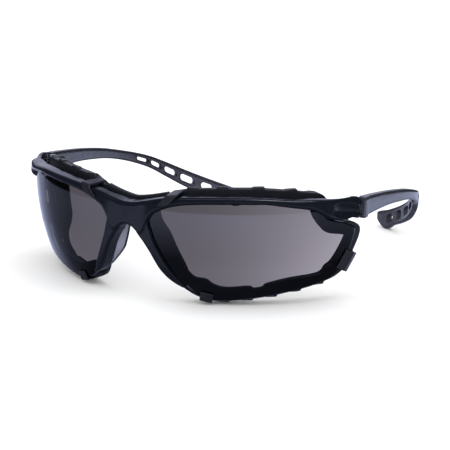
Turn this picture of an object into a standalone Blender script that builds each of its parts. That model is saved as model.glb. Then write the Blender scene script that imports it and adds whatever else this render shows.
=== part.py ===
"""Wraparound safety glasses with a clip-in foam gasket and folding temples.

The front is curved in two directions.  Its pieces are drawn on a flat sheet, where u runs
sideways from the nose and z runs up, and wrap() bends that sheet round the face.  A third
number, off, is the distance in front of the lens's outer surface, so the frame, the lenses,
the gasket and the foam are layers of one sheet.

+X is the wearer's left, -Y is forward and +Z is up.  Lengths are in millimetres until a mesh
is made, and in metres after that.
"""

import bisect
import math

import bmesh
import bpy
from mathutils import Vector

MM = 0.001
NAME = "safety_glasses"

# The curved sheet
WRAP_RADIUS = 78.7        # horizontal radius of the lens's outer surface
FLAT_HALF_WIDTH = 1.2     # half-width of the flat strip at the nose
TALL_RADIUS = 80.0        # vertical radius of the lens's outer surface
APEX_HEIGHT = 32.0        # flat height at which the surface stands furthest forward
FRONT_LIFT = 0.55         # height of the flat sheet's zero above the resting plane
REST_TILT = 0.9           # degrees that the front leans forward when the glasses are set down
Y_CENTRE = 73.37          # distance from the lens's front to the middle of the depth

GAP = 0.3                 # clearance between neighbouring pieces

# Lens
LENS_THICKNESS = 2.2
LENS_CENTRE = (45.0, 20.0)
LENS_OUTLINE = [
    (6.8, 32.5), (12.3, 37.6), (20.5, 39.4), (31.0, 40.4), (42.0, 40.6), (52.0, 40.2),
    (62.0, 38.5), (71.5, 36.6), (76.0, 31.8), (83.0, 29.6), (87.3, 27.2), (86.8, 22.5),
    (84.4, 15.5), (81.6, 10.2), (75.5, 7.2), (60.0, 3.8), (45.0, 1.6), (33.0, 0.8),
    (25.6, 2.6), (18.9, 7.0), (14.4, 11.5), (10.6, 18.4), (7.6, 25.5),
]
LENS_RINGS = (1.0, 0.86, 0.62, 0.33)

# Gasket: the outer and inner edges of its ring round each lens
GASKET_OUTER = [
    (7.6, 36.3), (17.5, 41.5), (26.0, 42.9), (38.0, 43.4), (50.0, 43.3), (62.0, 42.2),
    (70.0, 41.0), (74.6, 40.2), (77.4, 38.4), (78.4, 35.0), (81.0, 30.6), (89.2, 28.3),
    (92.3, 25.0), (90.3, 18.4), (85.9, 9.4), (77.0, 5.6), (60.0, 2.4), (45.0, 0.4),
    (33.0, -0.1), (24.2, 2.2), (18.9, 6.8), (16.6, 12.0), (13.2, 19.0), (10.0, 26.0),
    (6.8, 31.0),
]
GASKET_INNER = [
    (10.0, 32.0), (14.0, 36.6), (22.0, 38.9), (31.0, 39.8), (42.0, 40.0), (52.0, 39.6),
    (61.0, 38.0), (69.5, 35.9), (72.4, 31.0), (76.4, 26.0), (83.6, 24.2), (87.2, 22.3),
    (85.2, 17.8), (81.4, 12.9), (78.6, 11.4), (75.8, 9.1), (63.0, 8.4), (53.6, 6.9),
    (52.0, 5.6), (47.9, 5.2), (46.4, 6.1), (36.0, 5.6), (28.4, 8.0), (23.4, 8.8),
    (19.2, 13.6), (17.0, 19.0), (14.8, 25.0),
]
CARRIER_THICKNESS = 2.6
CARRIER_BEHIND_LENS = 2.6     # from the lens's outer surface, where no frame is between
CARRIER_BEHIND_FRAME = 4.8    # from the lens's outer surface, behind the brow bar
FOAM_BACK = 11.0              # from the lens's outer surface to the face side of the foam
FOAM_INSET = 0.7
FOAM_TAPER = 2.0              # how far the foam's opening widens towards the face
NOSE_RELIEF = 1.5             # how much shallower the foam is beside the nose
CHEEK_RELIEF = 3.5            # and along the cheek
TEMPLE_OPENING = 2.0          # extra widening of its opening towards the temple
TEMPLE_FLARE = 2.2            # extra spread of the foam towards the temple
BROW_TAPER = 1.0              # how far the foam's top edge draws in towards the face
FOAM_WALL = 1.5               # least width of the foam at its face side
CLIP_THICKNESS = 0.8
TAB_REACH = 3.4               # how far the lower tab covers the lens
TAB_OUT = 0.65                # how far the lower tab stands out past the lens's edge
SIDE_CLIP_REACH = 3.0
SIDE_CLIP_OUT = 3.8
SIDE_CLIP_SLOPE = 1.4         # how far the side clip's face falls back at its outer edge
HOOK_FROM, HOOK_TO = 13.0, 17.4
HOOK_THICKNESS = 0.9
HOOK_SHEAR = 3.2              # how far the hook leans outwards from its tip to its root
TAB_START, TAB_END = (26.8, 1.7), (31.8, 0.6)
SIDE_CLIP_START, SIDE_CLIP_END = (82.9, 11.0), (86.4, 18.2)
RIB_TOP = (24.0, 36.0, 50.0, 63.0)
RIB_BOTTOM = (36.0, 46.0, 56.0, 66.0, 76.0)
RIB_HALF_WIDTH = 2.3
RIB_HEIGHT = 0.8

# Brow bar: (u, height of the lower edge, height of the top) at stations across one half
BROW = [
    (0.0, 28.8, 37.6), (1.5, 28.5, 37.6), (3.0, 27.6, 37.8), (4.6, 26.2, 38.1),
    (6.4, 26.2, 38.5), (8.6, 31.0, 39.0), (10.2, 33.4, 39.4),
    (13.0, 35.2, 40.0), (17.0, 36.8, 40.6), (21.0, 37.8, 41.0), (26.0, 38.4, 41.3),
    (31.0, 38.7, 41.5), (36.0, 38.8, 41.6), (42.0, 38.9, 41.6), (47.0, 38.8, 41.5),
    (52.0, 38.7, 41.2), (57.0, 37.9, 40.7), (61.5, 37.1, 40.2), (66.0, 36.3, 39.9),
    (70.0, 35.3, 39.7), (73.0, 33.4, 39.4), (75.5, 31.8, 39.1), (78.0, 30.9, 38.8),
    (81.0, 30.4, 38.6), (84.0, 30.3, 38.6), (87.0, 31.0, 38.6), (89.2, 32.6, 38.2),
    (90.2, 34.2, 37.4),
]
BROW_FRONT = 2.2
BROW_BACK = -4.2
BROW_BEVEL = 0.8
LUG_START = 72.0
LUG_TUCKED = 82.0             # where the lug's outer face has finished drawing in
LUG_BACK = -1.6
LUG_TUCK = 1.9                # how far the lug's outer face draws in towards the temple

# Nose arms: (height, inner edge, outer edge) down one side of the nose
NOSE_ARM = [
    (30.4, 3.4, 8.6), (27.4, 3.4, 9.6), (25.6, 4.5, 10.1), (24.0, 5.8, 10.6),
    (20.0, 8.4, 12.4), (16.0, 10.5, 14.4),
    (12.0, 12.8, 16.8), (9.0, 15.2, 18.9), (7.0, 17.8, 20.4), (5.8, 20.0, 21.6),
]
NOSE_ARM_FRONT = 1.8
NOSE_ARM_TUCK = 1.2           # how far its front face draws back at the bottom
LEDGE_WIDTH = 2.2             # the ledge of the nose arm that runs behind the lens
LEDGE_BACK = -4.4
FLANGE_THICKNESS = 1.2
FLANGE_MIDDLE = 18.0          # height of the flange's deepest point
FLANGE_HALF = 9.0
FLANGE_DEPTH = 5.9            # how far it stands back from the arm there
FLANGE_LEAN = (-0.6, 1.2)     # sideways lean of its free edge, at the bridge and at the cheek

# Temples: (distance along the arm, height of the top edge, height of the arm, thickness)
TEMPLE_X = 71.0
TEMPLE_Y = 45.9
ARM_STATIONS = [
    (0.0, 38.9, 7.4, 3.6), (6.0, 38.6, 7.1, 3.4), (15.0, 37.7, 6.3, 3.0),
    (24.0, 36.6, 5.5, 2.8), (33.0, 35.2, 5.0, 2.6), (42.0, 33.5, 4.5, 2.6),
    (51.0, 31.3, 4.3, 2.6), (60.0, 28.9, 4.7, 2.6), (69.0, 26.0, 5.5, 2.6),
    (78.0, 22.0, 6.8, 2.6), (87.0, 17.7, 7.8, 2.8), (96.0, 13.7, 7.9, 2.9),
    (105.0, 10.1, 8.1, 3.0), (109.5, 8.4, 8.7, 3.0), (113.5, 7.3, 6.6, 2.8),
    (116.7, 6.2, 3.9, 2.2),
]
ARM_STEP = 3.65
BEND_START = 20.0
BEND_END = 144.0
BEND_ANGLE = 68.0
SLOT_CENTRES = (64.6, 71.8, 79.2, 87.4, 96.8, 106.0)
SLOT_LENGTHS = (6.6, 5.4, 6.0, 6.6, 5.4, 5.6)
SLOT_HEIGHTS = (1.4, 1.9, 2.5, 3.1, 3.2, 3.0)
COLLAR_LENGTH = 3.4
COLLAR_RISE = 0.45            # how far the collar at the hinge stands proud of the arm

# Hinges
HINGE_X = 67.6
HINGE_Y = 46.9
HINGE_Z = 34.7
KNUCKLE_RADIUS = 2.1
KNUCKLE_HEIGHT = 2.0
EAR_HEIGHT = 1.7
ROOT_INSET = 0.12             # how much lower each ear's root is than the ear, top and bottom
PIN_RADIUS = 0.7
PIN_HEAD_RADIUS = 1.25
PIN_HEAD_HEIGHT = 0.5


# ---------------------------------------------------------------- scene helpers

def clear_scene():
    for obj in list(bpy.data.objects):
        bpy.data.objects.remove(obj, do_unlink=True)
    for coll in list(bpy.data.collections):
        bpy.data.collections.remove(coll)


def new_collection(name):
    coll = bpy.data.collections.new(name)
    bpy.context.scene.collection.children.link(coll)
    return coll


def new_material(name, colour, roughness, alpha=1.0, metallic=0.0):
    mat = bpy.data.materials.new(name)
    mat.use_nodes = True
    shader = mat.node_tree.nodes["Principled BSDF"]
    shader.inputs["Base Color"].default_value = (*colour, 1.0)
    shader.inputs["Roughness"].default_value = roughness
    shader.inputs["Metallic"].default_value = metallic
    shader.inputs["Alpha"].default_value = alpha
    return mat


def solid(name, points, faces, coll, mat=None, origin=(0.0, 0.0, 0.0)):
    """Make an object from points in mm, with its origin at a point in mm."""
    mesh = bpy.data.meshes.new(name)
    start = Vector(origin)
    mesh.from_pydata([(Vector(p) - start) * MM for p in points], [], faces)
    bm = bmesh.new()
    bm.from_mesh(mesh)
    bmesh.ops.recalc_face_normals(bm, faces=bm.faces)
    bmesh.ops.triangulate(bm, faces=[f for f in bm.faces if len(f.verts) > 3])
    bm.to_mesh(mesh)
    bm.free()
    obj = bpy.data.objects.new(name, mesh)
    obj.location = start * MM
    coll.objects.link(obj)
    if mat:
        mesh.materials.append(mat)
    return obj


def combine(target, tool, operation):
    """Join a tool to a part, or cut it away, with an exact Boolean modifier."""
    mod = target.modifiers.new(tool.name, "BOOLEAN")
    mod.object = tool
    mod.operation = operation
    mod.solver = "EXACT"
    tool.hide_render = True
    tool.display_type = "WIRE"


def cylinder(name, centre, radius, low, high, coll, segments=24, mat=None):
    """An upright cylinder between two heights, in mm, with its origin on its axis."""
    mesh = bpy.data.meshes.new(name)
    bm = bmesh.new()
    bmesh.ops.create_cone(bm, cap_ends=True, segments=segments, radius1=radius * MM,
                          radius2=radius * MM, depth=(high - low) * MM)
    bm.to_mesh(mesh)
    bm.free()
    obj = bpy.data.objects.new(name, mesh)
    obj.location = Vector((centre[0], centre[1], (low + high) / 2)) * MM
    coll.objects.link(obj)
    if mat:
        mesh.materials.append(mat)
    return obj


def box(name, low, high, coll):
    """A box between two corners, in mm."""
    mesh = bpy.data.meshes.new(name)
    bm = bmesh.new()
    bmesh.ops.create_cube(bm, size=1.0)
    size = Vector(high) - Vector(low)
    bmesh.ops.scale(bm, vec=size * MM, verts=bm.verts)
    bm.to_mesh(mesh)
    bm.free()
    obj = bpy.data.objects.new(name, mesh)
    obj.location = (Vector(low) + Vector(high)) / 2 * MM
    coll.objects.link(obj)
    return obj


# ---------------------------------------------------------------- geometry

def wrap(u, z, off):
    """Bend a point of the flat sheet round the face.  u < 0 is the wearer's right."""
    side = -1.0 if u < 0 else 1.0
    reach = abs(u)
    angle = max(reach - FLAT_HALF_WIDTH, 0.0) / WRAP_RADIUS
    sag = (z - APEX_HEIGHT) ** 2 / (2 * TALL_RADIUS)
    radius = WRAP_RADIUS - sag + off
    x = side * (min(reach, FLAT_HALF_WIDTH) + radius * math.sin(angle))
    y = WRAP_RADIUS - radius * math.cos(angle)
    lean = math.radians(REST_TILT)
    back, up = (y * math.cos(lean) - z * math.sin(lean), z * math.cos(lean) + y * math.sin(lean))
    return (x, back - Y_CENTRE, up + FRONT_LIFT)


def spline(points, per_span=6):
    """A closed, smooth curve through the points of an outline."""
    count = len(points)
    curve = []
    for i in range(count):
        p0, p1, p2, p3 = (points[(i + k - 1) % count] for k in range(4))
        for step in range(per_span):
            t = step / per_span
            curve.append(tuple(
                0.5 * (2 * b + (c - a) * t + (2 * a - 5 * b + 4 * c - d) * t ** 2
                       + (3 * b - a - 3 * c + d) * t ** 3)
                for a, b, c, d in zip(p0, p1, p2, p3)))
    return curve


def polar(point):
    du, dz = point[0] - LENS_CENTRE[0], point[1] - LENS_CENTRE[1]
    return math.atan2(dz, du), math.hypot(du, dz)


def outline_radii(points, angles):
    """Distance from the lens's centre to an outline, in each of the given directions."""
    table = sorted(polar(p) for p in spline(points))
    first, last = table[0], table[-1]
    table = [(last[0] - math.tau, last[1])] + table + [(first[0] + math.tau, first[1])]
    keys = [angle for angle, _ in table]
    radii = []
    for angle in angles:
        i = bisect.bisect_right(keys, angle)
        (a0, r0), (a1, r1) = table[i - 1], table[i]
        radii.append(r0 + (r1 - r0) * (angle - a0) / (a1 - a0))
    return radii


def station_angles(points, spacing):
    """Directions from the lens's centre to points spaced evenly along an outline."""
    curve = spline(points, 12)
    angles = []
    travelled = spacing
    previous = curve[-1]
    for point in curve:
        travelled += math.dist(previous, point)
        if travelled >= spacing:
            angles.append(polar(point)[0])
            travelled = 0.0
        previous = point
    return angles


def at(angle, radius):
    return (LENS_CENTRE[0] + radius * math.cos(angle), LENS_CENTRE[1] + radius * math.sin(angle))


def lens_solid(name, side, coll, mat=None, grow=0.0, front=0.0, back=-LENS_THICKNESS):
    """Two domed skins on rings that follow the lens's outline, joined at the rim."""
    angles = station_angles(LENS_OUTLINE, 3.6)
    radii = [r + grow for r in outline_radii(LENS_OUTLINE, angles)]
    count = len(angles)
    points, faces = [], []
    for off in (front, back):
        base = len(points)
        for scale in LENS_RINGS:
            for angle, radius in zip(angles, radii):
                u, z = at(angle, radius * scale)
                points.append(wrap(side * u, z, off))
        points.append(wrap(side * LENS_CENTRE[0], LENS_CENTRE[1], off))
        for ring in range(len(LENS_RINGS) - 1):
            for i in range(count):
                j = (i + 1) % count
                a, b = base + ring * count, base + (ring + 1) * count
                faces.append((a + i, a + j, b + j, b + i))
        inner = base + (len(LENS_RINGS) - 1) * count
        for i in range(count):
            faces.append((inner + i, inner + (i + 1) % count, base + len(LENS_RINGS) * count))
    skin = len(points) // 2
    for i in range(count):
        j = (i + 1) % count
        faces.append((i, j, skin + j, skin + i))
    return solid(name, points, faces, coll, mat)


def ring_solid(name, side, section, coll, mat=None):
    """A closed ring: section(angle, outer, inner) gives (radius, off) pairs at each station."""
    angles = station_angles(GASKET_OUTER, 3.6)
    outer = outline_radii(GASKET_OUTER, angles)
    inner = outline_radii(GASKET_INNER, angles)
    points, faces = [], []
    for angle, r_out, r_in in zip(angles, outer, inner):
        profile = section(angle, r_out, r_in)
        for radius, off in profile:
            u, z = at(angle, radius)
            points.append(wrap(side * u, z, off))
    size = len(points) // len(angles)
    for i in range(len(angles)):
        a, b = i * size, (i + 1) % len(angles) * size
        for k in range(size):
            m = (k + 1) % size
            faces.append((a + k, a + m, b + m, b + k))
    return solid(name, points, faces, coll, mat)


def loft(name, sections, coll, mat=None, origin=(0.0, 0.0, 0.0)):
    """A solid through a row of sections with equal numbers of points, capped at both ends."""
    size = len(sections[0])
    points = [p for section in sections for p in section]
    faces = [tuple(range(size)), tuple(range(len(points) - size, len(points)))]
    for i in range(len(sections) - 1):
        a, b = i * size, (i + 1) * size
        for k in range(size):
            m = (k + 1) % size
            faces.append((a + k, a + m, b + m, b + k))
    return solid(name, points, faces, coll, mat, origin)


def between(table, key):
    """Read a table of stations at a position between two of them."""
    keys = [row[0] for row in table]
    i = min(max(bisect.bisect_right(keys, key), 1), len(table) - 1)
    low, high = table[i - 1], table[i]
    part = (key - low[0]) / (high[0] - low[0])
    return [a + (b - a) * part for a, b in zip(low, high)][1:]


def smooth_step(value, start, end):
    t = min(max((value - start) / (end - start), 0.0), 1.0)
    return t * t * (3 - 2 * t)


# ---------------------------------------------------------------- frame

def brow_section(u, z_low, z_top):
    """The bar's cross-section.  Behind the lug it is thin, to leave room for the lens."""
    lug = smooth_step(abs(u), LUG_START, LUG_START + 5.0)
    back = BROW_BACK + (LUG_BACK - BROW_BACK) * lug
    front = BROW_FRONT - LUG_TUCK * smooth_step(abs(u), LUG_START, LUG_TUCKED)
    bevel = BROW_BEVEL
    profile = [
        (z_low, front - 0.5), (z_low + 0.6, front), (z_top - bevel, front), (z_top, front - bevel),
        (z_top, back + 0.6), (z_top - 0.6, back), (z_low, back),
    ]
    return [wrap(u, z, off) for z, off in profile]


def brow_bar(coll, mat):
    half = [(u, low, top) for u, low, top in BROW]
    rows = [(-u, low, top) for u, low, top in reversed(half[1:])] + half
    return loft("frame_front", [brow_section(*row) for row in rows], coll, mat)


def nose_arm(side, cutters):
    """One side of the nose bridge, with a ledge that runs behind the lens's edge."""
    sections = []
    behind_lens = -LENS_THICKNESS - GAP
    for z, inner, outer in NOSE_ARM:
        front = NOSE_ARM_FRONT - NOSE_ARM_TUCK * (1.0 - smooth_step(z, 5.8, 14.0))
        ledge = outer + 0.05 + LEDGE_WIDTH * smooth_step(z, 5.8, 9.0)
        corners = [(inner, front - 0.5), (inner + 0.6, front), (outer, front - 0.4),
                   (outer, behind_lens), (ledge, behind_lens), (ledge, LEDGE_BACK), (inner, LEDGE_BACK)]
        sections.append([wrap(side * u, z, off) for u, off in corners])
    return loft(f"nose_arm_{side:+.0f}", sections, cutters)


def nose_flange(side, cutters):
    """The thin wing behind a nose arm that rests against the nose."""
    sections = []
    for share in (0.97, 0.85, 0.6, 0.3, 0.0, -0.3, -0.6, -0.85, -0.97):
        z = FLANGE_MIDDLE + FLANGE_HALF * share
        inner = between(NOSE_ARM[::-1], z)[0]
        reach = math.sqrt(1.0 - share ** 2)
        bridge, cheek = FLANGE_LEAN
        lean = bridge + (cheek - bridge) * (1.0 - smooth_step(z, 9.0, 17.0))
        near = inner + 0.25
        far = near + lean * reach
        back = LEDGE_BACK + 0.8 - FLANGE_DEPTH * reach
        corners = [(near, LEDGE_BACK + 1.4), (near + FLANGE_THICKNESS, LEDGE_BACK + 1.4),
                   (far + FLANGE_THICKNESS, back), (far, back)]
        sections.append([wrap(side * u, z, off) for u, off in corners])
    return loft(f"nose_flange_{side:+.0f}", sections, cutters)


def hinge_point(side):
    return (side * HINGE_X, HINGE_Y - Y_CENTRE)


def hinge_ear(side, low, high, label, cutters):
    """One of the two lugs on the frame that hold the pin: a round eye on a short root."""
    x, y = hinge_point(side)
    eye = cylinder(f"ear_{label}_{side:+.0f}", (x, y), KNUCKLE_RADIUS, low, high, cutters)
    root = box(f"ear_root_{label}_{side:+.0f}", (min(x, x + side * 4.4), y - 4.6, low + ROOT_INSET),
               (max(x, x + side * 4.4), y - 1.5, high - ROOT_INSET), cutters)
    return eye, root


def hinge_heights():
    """Heights of the joints between the lower ear, the temple's knuckle and the upper ear."""
    low = HINGE_Z - KNUCKLE_HEIGHT / 2
    high = HINGE_Z + KNUCKLE_HEIGHT / 2
    return low, high


def frame_front(coll, cutters, mat):
    frame = brow_bar(coll, mat)
    low, high = hinge_heights()
    for side in (1, -1):
        combine(frame, nose_arm(side, cutters), "UNION")
        combine(frame, nose_flange(side, cutters), "UNION")
        for label, bottom in (("low", low - GAP - EAR_HEIGHT), ("high", high + GAP)):
            for piece in hinge_ear(side, bottom, bottom + EAR_HEIGHT, label, cutters):
                combine(frame, piece, "UNION")
    for side in (1, -1):
        groove = lens_solid(f"lens_groove_{side:+.0f}", side, cutters,
                            grow=GAP, front=GAP, back=-LENS_THICKNESS - GAP)
        combine(frame, groove, "DIFFERENCE")
        bore = cylinder(f"frame_bore_{side:+.0f}", hinge_point(side), PIN_RADIUS + GAP,
                        low - 8.0, high + 8.0, cutters)
        combine(frame, bore, "DIFFERENCE")
    return frame


# ---------------------------------------------------------------- gasket

def carrier_front(angle, radius):
    """How far behind the lens's outer surface the carrier starts.

    It lies against the lens at the bottom and the temple side, and steps back where the
    brow bar and the nose arm are in the way.
    """
    u, z = at(angle, radius)
    brow = smooth_step(z, 27.0, 31.0) * (1.0 - smooth_step(u, 78.0, 84.0))
    nose = 1.0 - smooth_step(u, 22.0, 27.0)
    deep = max(brow, nose)
    return -(CARRIER_BEHIND_LENS + (CARRIER_BEHIND_FRAME - CARRIER_BEHIND_LENS) * deep)


def carrier_section(angle, outer, inner):
    front = carrier_front(angle, outer)
    back = front - CARRIER_THICKNESS
    return [(outer, front), (outer, back), (inner, back), (inner, front)]


def foam_section(angle, outer, inner):
    front = carrier_front(angle, outer) - CARRIER_THICKNESS - GAP
    nose = 1.0 - smooth_step(at(angle, outer)[0], 18.0, 26.0)
    brow = smooth_step(math.sin(angle), 0.25, 0.8)
    temple_side = smooth_step(math.cos(angle), 0.7, 0.95)
    cheek = 1.0 - smooth_step(at(angle, inner)[1], 6.5, 15.0)
    back = -FOAM_BACK + max(NOSE_RELIEF * nose, CHEEK_RELIEF * cheek)
    middle = (front + back) / 2
    spread = TEMPLE_FLARE * temple_side - NOSE_RELIEF * nose / 2 - BROW_TAPER * brow
    spread *= 1.0 - cheek / 2
    opening = FOAM_TAPER * (1.0 - brow) * (1.0 - cheek / 2)
    opening += TEMPLE_OPENING * temple_side * (1.0 - cheek)
    opening = min(opening, outer - inner - FOAM_INSET + spread - FOAM_WALL)
    edge, hole = outer - FOAM_INSET, inner + FOAM_INSET
    return [(edge, front), (edge + spread / 2, middle), (edge + spread, back),
            (inner + opening, back), ((hole + inner + opening) / 2, middle), (hole, front)]


def sheet_block(name, side, u_low, u_high, z_low, z_high, off_back, off_front, cutters):
    """A block on the curved sheet.  z_low and z_high are given at u_low and u_high."""
    sections = []
    for part in (0.0, 0.5, 1.0):
        u = u_low + (u_high - u_low) * part
        low = z_low[0] + (z_low[1] - z_low[0]) * part
        high = z_high[0] + (z_high[1] - z_high[0]) * part
        corners = [(low, off_back), (high, off_back), (high, off_front), (low, off_front)]
        sections.append([wrap(side * u, z, off) for z, off in corners])
    return loft(name, sections, cutters)


def brow_strap(cutters):
    """The strip of the carrier that crosses the bridge behind the frame."""
    sections = []
    for u in (-14.0, -10.0, -6.0, -2.0, 2.0, 6.0, 10.0, 14.0):
        top = 38.4 + 2.6 * (abs(u) / 14.0) ** 1.3
        corners = [(top - 3.0, -4.8), (top, -4.8), (top, -7.2), (top - 3.0, -7.2)]
        sections.append([wrap(u, z, off) for z, off in corners])
    return loft("brow_strap", sections, cutters)


def brow_hook(side, cutters):
    """The C-shaped hook that reaches from the carrier over the brow bar to its front.

    Each corner is a height above the bar's top, a distance in front of the lens and a share
    of the hook's sideways lean.
    """
    face, over = BROW_FRONT + GAP, GAP + HOOK_THICKNESS
    lip = face + HOOK_THICKNESS
    corners = [(-2.4, -6.6, 1.0), (over, -6.6, 1.0), (over, lip - 0.6, 0.95), (over - 0.6, lip, 0.8),
               (-2.4, lip, -0.1), (-2.4, face, -0.1), (GAP, face, 0.9), (GAP, -5.3, 1.0),
               (-2.4, -5.3, 1.0)]
    sections = []
    for part in (0.0, 0.5, 1.0):
        section = []
        for rise, off, share in corners:
            u = HOOK_FROM + (HOOK_TO - HOOK_FROM) * part + share * HOOK_SHEAR
            section.append(wrap(side * u, between(BROW, u)[1] + rise, off))
        sections.append(section)
    return loft(f"brow_hook_{side:+.0f}", sections, cutters)


def edge_clip(name, side, start, end, reach, stand_out, back_reach, slope, cutters):
    """A clip round the lens's edge.  Its section runs along the line from start to end.

    reach is how far the front tab covers the lens, stand_out how far the clip goes past the
    line, back_reach how far it grips the carrier and slope how far its face falls back at its
    outer edge.  The first three are measured square to the line.
    """
    du, dz = end[0] - start[0], end[1] - start[1]
    length = math.hypot(du, dz)
    out = (dz / length, -du / length)
    over = GAP + CLIP_THICKNESS
    profile = [(-reach, GAP), (-reach, over - 0.5), (0.7, over), (stand_out, over - 0.2 - slope),
               (stand_out, -4.2), (-back_reach, -4.2), (-back_reach, -3.3), (GAP, -3.3), (GAP, GAP)]
    sections = []
    for part in (0.0, 0.5, 1.0):
        u, z = start[0] + du * part, start[1] + dz * part
        sections.append([wrap(side * (u + n * out[0]), z + n * out[1], off) for n, off in profile])
    return loft(f"{name}_{side:+.0f}", sections, cutters)


def clips(side, cutters):
    """The hook over the brow bar, the tab under the lens and the clip at its outer edge."""
    return [
        brow_hook(side, cutters),
        edge_clip("lower_tab", side, TAB_START, TAB_END, TAB_REACH, TAB_OUT, 2.0, 0.0, cutters),
        edge_clip("side_clip", side, SIDE_CLIP_START, SIDE_CLIP_END, SIDE_CLIP_REACH, SIDE_CLIP_OUT,
                  0.8, SIDE_CLIP_SLOPE, cutters),
    ]


def ribs(side, cutters):
    """Short raised pads along the top and bottom edges of the carrier."""
    angles = [2 * math.pi * i / 720 - math.pi for i in range(720)]
    edge = [at(a, r) for a, r in zip(angles, outline_radii(GASKET_OUTER, angles))]
    pieces = []
    for positions, above in ((RIB_TOP, True), (RIB_BOTTOM, False)):
        half = [p for p in edge if (p[1] > LENS_CENTRE[1]) == above]
        for u in positions:
            z = min(half, key=lambda p, u=u: abs(p[0] - u))[1]
            depth = CARRIER_BEHIND_FRAME if above else CARRIER_BEHIND_LENS
            low, high = (z - 1.0, z + RIB_HEIGHT) if above else (z - RIB_HEIGHT, z + 1.0)
            pieces.append(sheet_block(f"rib_{u:.0f}_{above}_{side:+.0f}", side,
                                      u - RIB_HALF_WIDTH, u + RIB_HALF_WIDTH, (low, low), (high, high),
                                      -depth - CARRIER_THICKNESS + 0.3, -depth - 0.3, cutters))
    return pieces


def gasket_carrier(coll, cutters, mat):
    carrier = ring_solid("gasket_carrier", 1, carrier_section, coll, mat)
    combine(carrier, ring_solid("carrier_ring_right", -1, carrier_section, cutters), "UNION")
    combine(carrier, brow_strap(cutters), "UNION")
    for side in (1, -1):
        for piece in clips(side, cutters) + ribs(side, cutters):
            combine(carrier, piece, "UNION")
    return carrier


# ---------------------------------------------------------------- temples

def arm_heading(distance):
    """Direction of the arm in plan, in radians inwards from straight back."""
    return math.radians(BEND_ANGLE * smooth_step(distance, BEND_START, BEND_END))


def arm_point(distance):
    """Middle of the arm in plan, in mm, at a distance along it."""
    x, y, step = TEMPLE_X, TEMPLE_Y - Y_CENTRE, 0.5
    travelled = 0.0
    while travelled < distance - 1e-9:
        move = min(step, distance - travelled)
        heading = arm_heading(travelled + move / 2)
        x -= math.sin(heading) * move
        y += math.cos(heading) * move
        travelled += move
    return x, y


def arm_section(side, distance):
    z_top, height, thickness = between(ARM_STATIONS, distance)
    x, y = arm_point(distance)
    heading = arm_heading(distance)
    across, along = math.cos(heading), math.sin(heading)
    collar = COLLAR_RISE * (1.0 - smooth_step(distance, COLLAR_LENGTH - 0.6, COLLAR_LENGTH))
    half, z_low = thickness / 2 + collar, z_top - height - collar
    edge = min(0.9, height / 4)
    profile = [(-half, z_low + edge), (-half + 0.5, z_low), (half - 0.5, z_low), (half, z_low + edge),
               (half, z_top - edge), (half - 0.5, z_top), (-half + 0.5, z_top), (-half, z_top - edge)]
    return [(side * (x + w * across), y + w * along, z) for w, z in profile]


def slot_cutter(name, side, distance, length, tall, cutters):
    """A rounded slot through the arm, turned to follow its slope."""
    z_top, height, thickness = between(ARM_STATIONS, distance)
    ahead = between(ARM_STATIONS, distance + 2.0)
    slope = ((ahead[0] - ahead[1] / 2) - (z_top - height / 2)) / 2.0
    x, y = arm_point(distance)
    heading = arm_heading(distance)
    corner = min(tall, length) * 0.45
    outline = []
    for quarter, (a, b) in enumerate(((1, 1), (-1, 1), (-1, -1), (1, -1))):
        centre = (a * (length / 2 - corner), b * (tall / 2 - corner))
        for k in range(4):
            turn = math.radians(90 * quarter + 30 * k)
            outline.append((centre[0] + corner * math.cos(turn), centre[1] + corner * math.sin(turn)))
    sections = []
    for depth in (-thickness, thickness):
        ring = []
        for run, rise in outline:
            px = x - math.sin(heading) * run + math.cos(heading) * depth
            py = y + math.cos(heading) * run + math.sin(heading) * depth
            ring.append((side * px, py, z_top - height / 2 + rise + slope * run))
        sections.append(ring)
    return loft(name, sections, cutters)


def temple(side, name, coll, cutters, mat):
    """An arm with cord slots near its tip and a knuckle at the hinge.  Its origin is the axis."""
    length = ARM_STATIONS[-1][0]
    count = round(length / ARM_STEP)
    distances = [0.0, COLLAR_LENGTH - 0.6, COLLAR_LENGTH]
    distances += [length * i / count for i in range(1, count)] + [length - 1.2, length]
    x, y = hinge_point(side)
    arm = loft(name, [arm_section(side, d) for d in distances], coll, mat, (x, y, HINGE_Z))
    low, high = hinge_heights()
    knuckle = cylinder(f"knuckle_{side:+.0f}", (x, y), KNUCKLE_RADIUS, low, high, cutters)
    web = box(f"knuckle_web_{side:+.0f}", (min(x, x + side * 3.6), y, low + ROOT_INSET),
              (max(x, x + side * 3.6), y + KNUCKLE_RADIUS + 1.6, high - ROOT_INSET), cutters)
    relief = cylinder(f"relief_{side:+.0f}", (x, y), KNUCKLE_RADIUS + 0.5, high, high + 5.0, cutters)
    relief_low = cylinder(f"relief_low_{side:+.0f}", (x, y), KNUCKLE_RADIUS + 0.5, low - 8.0, low, cutters)
    bore = cylinder(f"temple_bore_{side:+.0f}", (x, y), PIN_RADIUS + GAP, low - 8.0, high + 8.0, cutters)
    combine(arm, relief, "DIFFERENCE")
    combine(arm, relief_low, "DIFFERENCE")
    combine(arm, knuckle, "UNION")
    combine(arm, web, "UNION")
    combine(arm, bore, "DIFFERENCE")
    for i, (centre, size, tall) in enumerate(zip(SLOT_CENTRES, SLOT_LENGTHS, SLOT_HEIGHTS)):
        slot = slot_cutter(f"slot_{i}_{side:+.0f}", side, centre, size, tall, cutters)
        combine(arm, slot, "DIFFERENCE")
    return arm


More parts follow.
